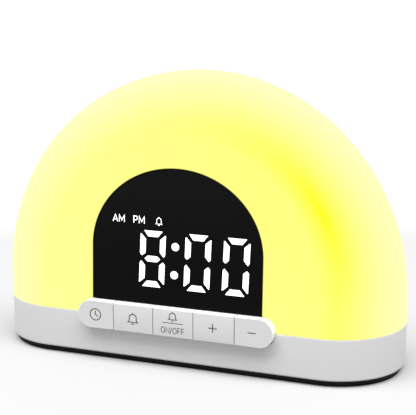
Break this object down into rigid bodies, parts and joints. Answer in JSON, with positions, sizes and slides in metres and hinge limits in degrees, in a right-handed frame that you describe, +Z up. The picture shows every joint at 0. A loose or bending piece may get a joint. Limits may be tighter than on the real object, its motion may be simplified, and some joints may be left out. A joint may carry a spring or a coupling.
{
  "type": "sunrise alarm clock",
  "caption": "Arched opal wake-up light on a white base, with a black display window showing the time and a pill-shaped row of push keys across the front.",
  "frame": {"origin": "middle of the flat underside that rests on the table, half-way between the front and back walls", "axes": "+X along the front to the right, -Y out of the display and keys, +Z up"},
  "size_m": [0.16, 0.0565, 0.1091],
  "materials": {
    "opal_shell": "satin opal moulding, lit warm from inside",
    "smoked_lens": "polished smoked panel",
    "key_white": "fine satin",
    "white_abs": "satin moulding",
    "black_abs": "satin moulding",
    "silicone": "matt",
    "milky_resin": "clear-cast milky resin",
    "board": "solder mask",
    "white_board": "white solder mask",
    "led": "phosphor filled",
    "steel": "zinc plated",
    "socket_steel": "nickel plated",
    "component_black": "moulded",
    "can_aluminium": "bright",
    "connector_white": "moulded",
    "plunger_plastic": "moulded",
    "lead_sheath": "smooth",
    "ribbon": "laminate"
  },
  "bodies": {
    "root": {"foot_pad": "silicone", "bottom_cover": "black_abs", "case_screws": "steel", "base_shell": "white_abs", "light_tray": "white_abs", "diffuser_dome": "opal_shell", "display_lens": "smoked_lens", "display_frame": "black_abs", "segment_guides": "milky_resin", "display_board": "board", "display_leds": "led", "display_screws": "steel", "key_guide": "white_abs", "switch_board": "board", "switch_cases": "black_abs", "key_screws": "steel", "light_board": "white_board", "lamp_leds": "led", "lamp_screws": "steel", "main_board": "board", "main_board_screws": "steel", "usb_socket": "socket_steel", "controller_chip": "component_black", "capacitors": "can_aluminium", "cell_holder": "component_black", "coin_cell": "socket_steel", "speaker_frame": "component_black", "speaker_cone": "component_black", "speaker_magnet": "socket_steel", "board_connectors": "connector_white", "display_connector": "connector_white", "speaker_leads": "lead_sheath", "display_ribbon": "ribbon"},
    "time_key": {"key_time": "key_white", "plunger_time": "plunger_plastic"},
    "alarm_key": {"key_alarm": "key_white", "plunger_alarm": "plunger_plastic"},
    "alarm_switch_key": {"key_alarm_switch": "key_white", "plunger_alarm_switch": "plunger_plastic"},
    "plus_key": {"key_plus": "key_white", "plunger_plus": "plunger_plastic"},
    "minus_key": {"key_minus": "key_white", "plunger_minus": "plunger_plastic"}
  },
  "joints": [
    {"name": "time_press", "type": "slide", "parent": "root", "child": "time_key", "axis": [0, 1, 0], "range_m": [0, 0.0004], "stiffness_N_per_m": 600, "springref_m": -0.002},
    {"name": "alarm_press", "type": "slide", "parent": "root", "child": "alarm_key", "axis": [0, 1, 0], "range_m": [0, 0.0004], "stiffness_N_per_m": 600, "springref_m": -0.002},
    {"name": "alarm_switch_press", "type": "slide", "parent": "root", "child": "alarm_switch_key", "axis": [0, 1, 0], "range_m": [0, 0.0004], "stiffness_N_per_m": 600, "springref_m": -0.002},
    {"name": "plus_press", "type": "slide", "parent": "root", "child": "plus_key", "axis": [0, 1, 0], "range_m": [0, 0.0004], "stiffness_N_per_m": 600, "springref_m": -0.002},
    {"name": "minus_press", "type": "slide", "parent": "root", "child": "minus_key", "axis": [0, 1, 0], "range_m": [0, 0.0004], "stiffness_N_per_m": 600, "springref_m": -0.002}
  ]
}
